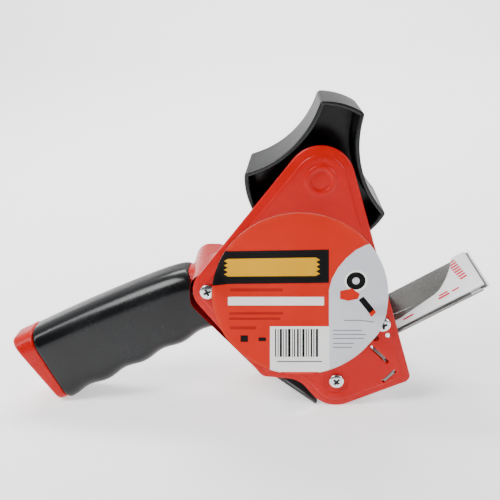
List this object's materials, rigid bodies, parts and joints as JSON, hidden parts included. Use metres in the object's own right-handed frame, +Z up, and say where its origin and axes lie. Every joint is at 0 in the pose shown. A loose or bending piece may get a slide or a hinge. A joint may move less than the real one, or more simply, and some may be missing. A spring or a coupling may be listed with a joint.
{
  "type": "tape dispenser",
  "caption": "Pistol-grip packing-tape dispenser with a three-lobed roll hub, screw brake, application roller, steel tongue with serrated blade and hinged clear guard.",
  "frame": {"origin": "centre of the footprint, on the surface the dispenser stands on with its side plates' lower lobes and the heel of its end cap", "axes": "+X toward the blade, +Y from the tall near side plate to the far side, along the hub and roller axes, +Z up"},
  "size_m": [0.2642, 0.0622, 0.1658],
  "materials": {
    "red_plastic": "glossy",
    "printed_card": "satin",
    "zinc_steel": "bright",
    "grip_rubber": "satin",
    "black_plastic": "glossy",
    "nylon": "matte",
    "brake_fibre": "matte",
    "spring_steel": "bright",
    "brass": "bright",
    "roller_rubber": "matte",
    "brushed_steel": "brushed",
    "clear_plastic": "clear, see-through"
  },
  "bodies": {
    "frame": {"near_side_plate": "red_plastic", "far_side_plate": "red_plastic", "label_card": "printed_card", "frame_screws": "zinc_steel", "handle_core": "red_plastic", "grip_sleeve": "grip_rubber", "grip_end_cap": "red_plastic", "hub_axle": "zinc_steel", "axle_washer": "nylon", "pressure_plate": "zinc_steel", "brake_spring": "spring_steel", "roller_axle": "zinc_steel", "roller_axle_screw": "zinc_steel", "tongue_plate": "brushed_steel", "cutter_blade": "brushed_steel", "blade_rivets": "zinc_steel", "tape_guide_bar": "brushed_steel", "tape_shield": "black_plastic", "guard_pin": "zinc_steel", "guard_spring": "spring_steel"},
    "hub": {"hub_shell": "black_plastic", "hub_bushing": "nylon", "brake_disc": "brake_fibre"},
    "brake_thrust": {"thrust_washer": "zinc_steel"},
    "knob": {"brake_knob": "black_plastic", "knob_insert_nut": "brass"},
    "roller": {"roller_core": "nylon", "roller_sleeve": "roller_rubber"},
    "guard": {"blade_guard": "clear_plastic"}
  },
  "joints": [
    {"name": "hub_spin", "type": "hinge", "parent": "frame", "child": "hub", "pos_m": [0.04729, -0.0005, 0.12787], "axis": [0, 1, 0], "continuous": true},
    {"name": "brake_travel", "type": "slide", "parent": "frame", "child": "brake_thrust", "axis": [0, 1, 0], "range_m": [0, 0.00187], "deforming": ["brake_spring"]},
    {"name": "knob_turn", "type": "hinge", "parent": "brake_thrust", "child": "knob", "pos_m": [0.04729, 0.0215, 0.12787], "axis": [0, 1, 0], "range_deg": [0, 540]},
    {"name": "roller_spin", "type": "hinge", "parent": "frame", "child": "roller", "pos_m": [0.05144, 0, 0.016], "axis": [0, 1, 0], "continuous": true},
    {"name": "guard_lift", "type": "hinge", "parent": "frame", "child": "guard", "pos_m": [0.07913, -0.0202, 0.04202], "axis": [0, -1, 0], "range_deg": [0, 22], "stiffness_Nm_per_rad": 0.01, "springref_deg": -17.19, "deforming": ["guard_spring"]}
  ],
  "couplings": [
    {"joint": "knob_turn", "follows": "brake_travel", "rad_per_m": 5026.5}
  ]
}
